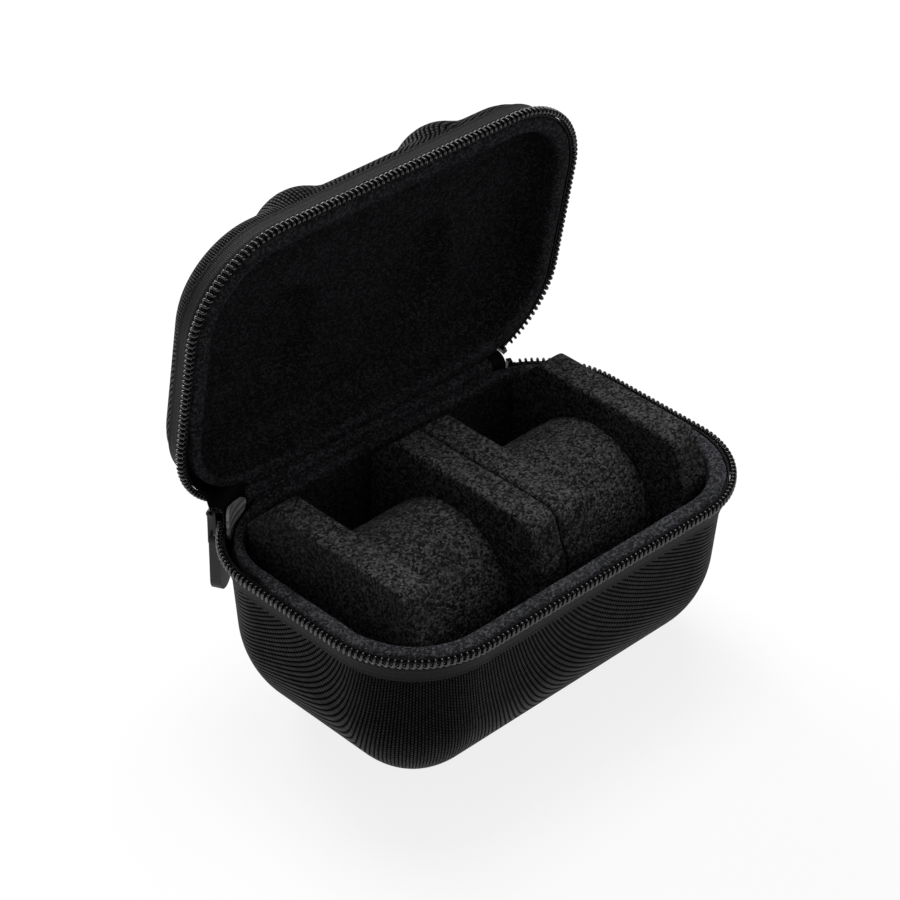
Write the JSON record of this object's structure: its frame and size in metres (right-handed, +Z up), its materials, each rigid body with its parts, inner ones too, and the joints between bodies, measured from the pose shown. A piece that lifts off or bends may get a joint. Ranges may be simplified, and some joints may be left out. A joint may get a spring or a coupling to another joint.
{
  "type": "watch travel case",
  "caption": "Zipped travel case for wristwatches: moulded base with lift-out foam inserts, and a domed lid on a fabric hinge.",
  "frame": {"origin": "centre of the flat underside of the base", "axes": "+X along the long side to the right, +Y towards the hinge, +Z up"},
  "size_m": [0.14, 0.108, 0.1452],
  "materials": {
    "woven_cover": "woven polyester cloth, matt, with fine ribs",
    "foam_board": "moulded foam board, matt",
    "velvet": "short velvet",
    "zip_tape": "knitted tape, matt",
    "zip_nylon": "nylon coil, glossy",
    "zip_metal": "dark plated metal, satin",
    "insert_foam": "open-cell foam, matt",
    "pull_rubber": "moulded rubber, matt"
  },
  "bodies": {
    "case_base": {"base_cover": "woven_cover", "base_shell": "foam_board", "base_lining": "velvet", "base_zip_tape": "zip_tape", "base_zip_teeth": "zip_nylon", "base_zip_stops": "zip_metal", "base_hinge_tape": "zip_tape", "base_hinge_strip": "velvet"},
    "left_insert": {"left_outer_cheek": "insert_foam", "left_core": "insert_foam", "left_inner_cheek": "insert_foam"},
    "right_insert": {"right_inner_cheek": "insert_foam", "right_core": "insert_foam", "right_outer_cheek": "insert_foam"},
    "lid": {"lid_cover": "woven_cover", "lid_shell": "foam_board", "lid_lining": "velvet", "lid_zip_tape": "zip_tape", "lid_zip_teeth": "zip_nylon", "lid_zip_stop": "zip_metal", "lid_hinge_tape": "zip_tape", "lid_hinge_strip": "velvet"},
    "slider": {"slider_body": "zip_metal", "slider_bridge": "zip_metal"},
    "pull": {"pull_tab": "pull_rubber"}
  },
  "joints": [
    {"name": "lid_hinge", "type": "hinge", "parent": "case_base", "child": "lid", "pos_m": [0, 0.044, 0.056], "axis": [-1, 0, 0], "range_deg": [-80.5, 25]},
    {"name": "left_insert_lift", "type": "slide", "parent": "case_base", "child": "left_insert", "axis": [0, 0, 1], "range_m": [0, 0.06]},
    {"name": "right_insert_lift", "type": "slide", "parent": "case_base", "child": "right_insert", "axis": [0, 0, 1], "range_m": [0, 0.06]},
    {"name": "slider_run", "type": "hinge", "parent": "case_base", "child": "slider", "pos_m": [-0.041, 0.017, 0.056], "axis": [0, 0, 1], "range_deg": [0, 47]},
    {"name": "pull_swing", "type": "hinge", "parent": "slider", "child": "pull", "pos_m": [-0.05581, 0.04486, 0.056], "axis": [0.8829, 0.4695, 0], "range_deg": [-5, 90]}
  ]
}
